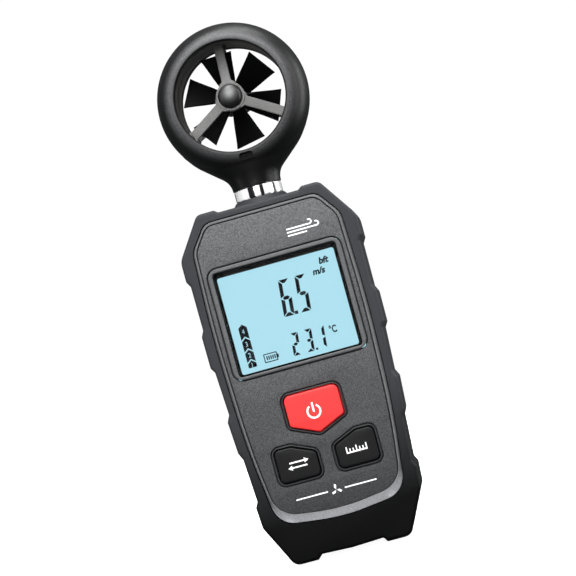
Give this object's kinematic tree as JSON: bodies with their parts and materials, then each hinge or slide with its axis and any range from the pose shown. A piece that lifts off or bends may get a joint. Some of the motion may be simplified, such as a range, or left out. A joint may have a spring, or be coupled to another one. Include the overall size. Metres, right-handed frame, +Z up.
{
  "type": "handheld vane anemometer",
  "caption": "Handheld weather meter: a vane wheel in a round head on a swivel collar, above a rubber-booted case with a lit display, keys and a battery door.",
  "frame": {"origin": "middle of the bounding box at its base, under the two feet the boot stands on", "axes": "+Z up through the head's swivel axis, -Y out of the display, +X to the right seen from the front"},
  "size_m": [0.0548, 0.0284, 0.165],
  "materials": {
    "head_plastic": "satin black moulded plastic, smooth",
    "guard_plastic": "fine matt dark grey plastic",
    "vane_plastic": "black plastic, slight sheen",
    "chrome": "polished bright plating",
    "steel": "plain steel",
    "brass": "turned brass",
    "magnet": "plated magnet, dark grey",
    "boot_rubber": "soft dark grey rubber with a fine grain",
    "case_plastic": "fine matt grey plastic",
    "fascia_plastic": "grey plastic with a fine spark-eroded grain",
    "clear_window": "clear flat window, glossy",
    "lcd_glass": "pale blue lit liquid crystal display with dark segments",
    "light_guide": "white translucent light guide",
    "inner_plastic": "plain off-white moulding",
    "elastomer": "striped conductive rubber strip",
    "circuit_board": "green solder-masked laminate",
    "chip": "black moulded package",
    "wire_sleeve": "black cable sleeve",
    "red_key": "bright red silicone key with a moulded power symbol",
    "dark_key": "black silicone key with a printed pictogram",
    "cell_jacket": "plain blue sleeve over a metal can",
    "seal_rubber": "black seal"
  },
  "bodies": {
    "case": {"swivel_collar": "chrome", "rubber_boot": "boot_rubber", "front_case": "case_plastic", "rear_case": "case_plastic", "fascia_panel": "fascia_plastic", "display_bezel": "case_plastic", "display_window": "clear_window", "lcd_panel": "lcd_glass", "lcd_backlight": "light_guide", "lcd_holder": "inner_plastic", "lcd_contact_strip": "elastomer", "main_board": "circuit_board", "microcontroller": "chip", "power_switch": "chip", "mode_switch": "chip", "unit_switch": "chip", "lead_connector": "inner_plastic", "case_lead": "wire_sleeve", "battery_left": "cell_jacket", "battery_middle": "cell_jacket", "battery_right": "cell_jacket", "battery_spring_left": "steel", "battery_spring_middle": "steel", "battery_spring_right": "steel", "upper_bridge_contact": "steel", "upper_end_contact": "steel", "lower_end_contact": "steel", "lower_bridge_contact": "steel", "case_screw_upper_left": "steel", "case_screw_upper_right": "steel", "case_screw_lower_left": "steel", "case_screw_lower_right": "steel", "board_screw_left": "steel", "board_screw_right": "steel"},
    "head": {"head_front_shell": "head_plastic", "head_rear_shell": "head_plastic", "front_guard": "guard_plastic", "rear_guard": "guard_plastic", "front_hub_cap": "head_plastic", "rear_hub_cap": "head_plastic", "front_bearing": "brass", "rear_bearing": "brass", "hall_sensor": "chip", "sensor_board": "circuit_board", "thermistor": "chip", "head_lead": "wire_sleeve", "swivel_tube": "steel", "swivel_retaining_ring": "steel", "swivel_o_ring": "seal_rubber", "head_screw_left": "steel", "head_screw_right": "steel", "head_screw_top": "steel"},
    "impeller": {"impeller": "vane_plastic", "impeller_shaft": "steel", "impeller_magnet": "magnet"},
    "power_key": {"power_key": "red_key"},
    "mode_key": {"mode_key": "dark_key"},
    "unit_key": {"unit_key": "dark_key"},
    "battery_door": {"battery_door": "case_plastic"}
  },
  "joints": [
    {"name": "head_swivel", "type": "hinge", "parent": "case", "child": "head", "pos_m": [0, 0, 0.1137], "axis": [0, 0, 1], "range_deg": [-90, 90]},
    {"name": "impeller_spin", "type": "hinge", "parent": "head", "child": "impeller", "pos_m": [0, 0, 0.14145], "axis": [0, 1, 0], "continuous": true},
    {"name": "power_key_press", "type": "slide", "parent": "case", "child": "power_key", "axis": [0, 1, 0], "range_m": [0, 0.0008], "stiffness_N_per_m": 1500, "springref_m": -0.0002},
    {"name": "mode_key_press", "type": "slide", "parent": "case", "child": "mode_key", "axis": [0, 1, 0], "range_m": [0, 0.0008], "stiffness_N_per_m": 1500, "springref_m": -0.0002},
    {"name": "unit_key_press", "type": "slide", "parent": "case", "child": "unit_key", "axis": [0, 1, 0], "range_m": [0, 0.0008], "stiffness_N_per_m": 1500, "springref_m": -0.0002},
    {"name": "battery_door_hinge", "type": "hinge", "parent": "case", "child": "battery_door", "pos_m": [0, 0.014, 0.0229], "axis": [-1, 0, 0], "range_deg": [0, 75]}
  ]
}
